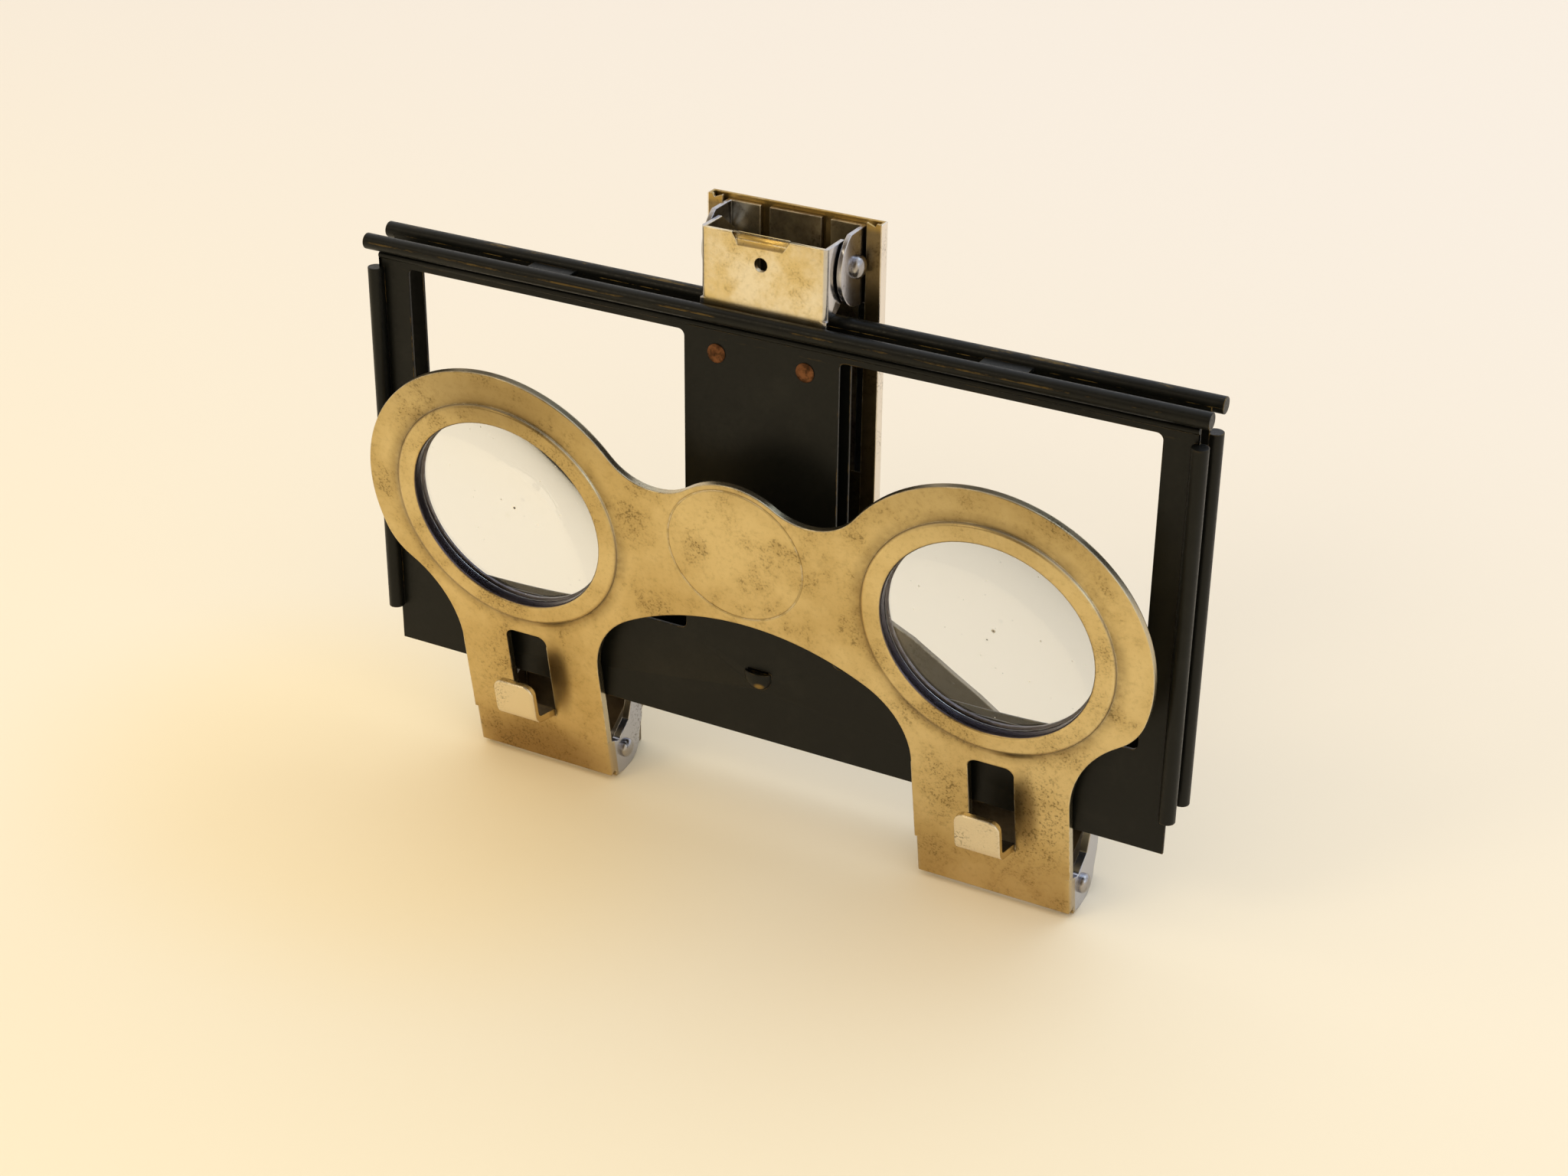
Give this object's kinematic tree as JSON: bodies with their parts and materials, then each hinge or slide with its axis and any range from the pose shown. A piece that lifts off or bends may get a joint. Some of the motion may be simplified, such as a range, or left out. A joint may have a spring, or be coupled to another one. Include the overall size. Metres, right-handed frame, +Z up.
{
  "type": "folding pocket stereoscope",
  "caption": "Folding pocket stereoscope: lenses in a nickelled plate on hinged feet, with a black slide holder that swings on a carriage in a rail behind.",
  "frame": {"origin": "middle of the bounding box at the floor that the feet stand on", "axes": "+X to the viewer's right along the lens plate, +Y from the lens plate to the rail behind, +Z up along the lens plate"},
  "size_m": [0.11, 0.0258, 0.0782],
  "materials": {
    "nickel_plate": "satin nickel over brass, tarnished",
    "lens_glass": "clear",
    "dark_cell": "darkened",
    "bright_pins": "polished nickel",
    "worn_base": "worn nickel over brass",
    "worn_rail": "worn nickel over brass",
    "polished_plate": "polished nickel over brass",
    "copper_rivets": "dull copper",
    "black_lacquer": "satin black lacquer"
  },
  "bodies": {
    "viewer": {"lens_plate": "nickel_plate", "left_lens": "lens_glass", "right_lens": "lens_glass", "left_lens_cell": "dark_cell", "right_lens_cell": "dark_cell", "left_lens_ring": "dark_cell", "right_lens_ring": "dark_cell", "left_foot_pin": "bright_pins", "right_foot_pin": "bright_pins"},
    "stand": {"base_plate": "worn_base", "rail": "worn_rail", "rail_rivets": "worn_rail", "stop_rivet": "worn_rail"},
    "slider": {"carriage": "worn_rail", "left_pivot_rivet": "bright_pins", "right_pivot_rivet": "bright_pins", "left_pivot_washer": "worn_rail", "right_pivot_washer": "worn_rail"},
    "holder": {"holder_bracket": "polished_plate", "bracket_rivets": "copper_rivets", "front_frame": "black_lacquer", "rear_frame": "black_lacquer", "slide_shelf": "black_lacquer"}
  },
  "joints": [
    {"name": "base_hinge", "type": "hinge", "parent": "viewer", "child": "stand", "pos_m": [0, -0.00479, 0.0031], "axis": [-1, 0, 0], "range_deg": [0, 80.4]},
    {"name": "focus_slide", "type": "slide", "parent": "stand", "child": "slider", "axis": [0, 0.1668, 0.986], "range_m": [0, 0.02]},
    {"name": "holder_pivot", "type": "hinge", "parent": "slider", "child": "holder", "pos_m": [0, 0.00917, 0.07366], "axis": [-1, 0, 0], "range_deg": [-2.4, 0.2]}
  ]
}
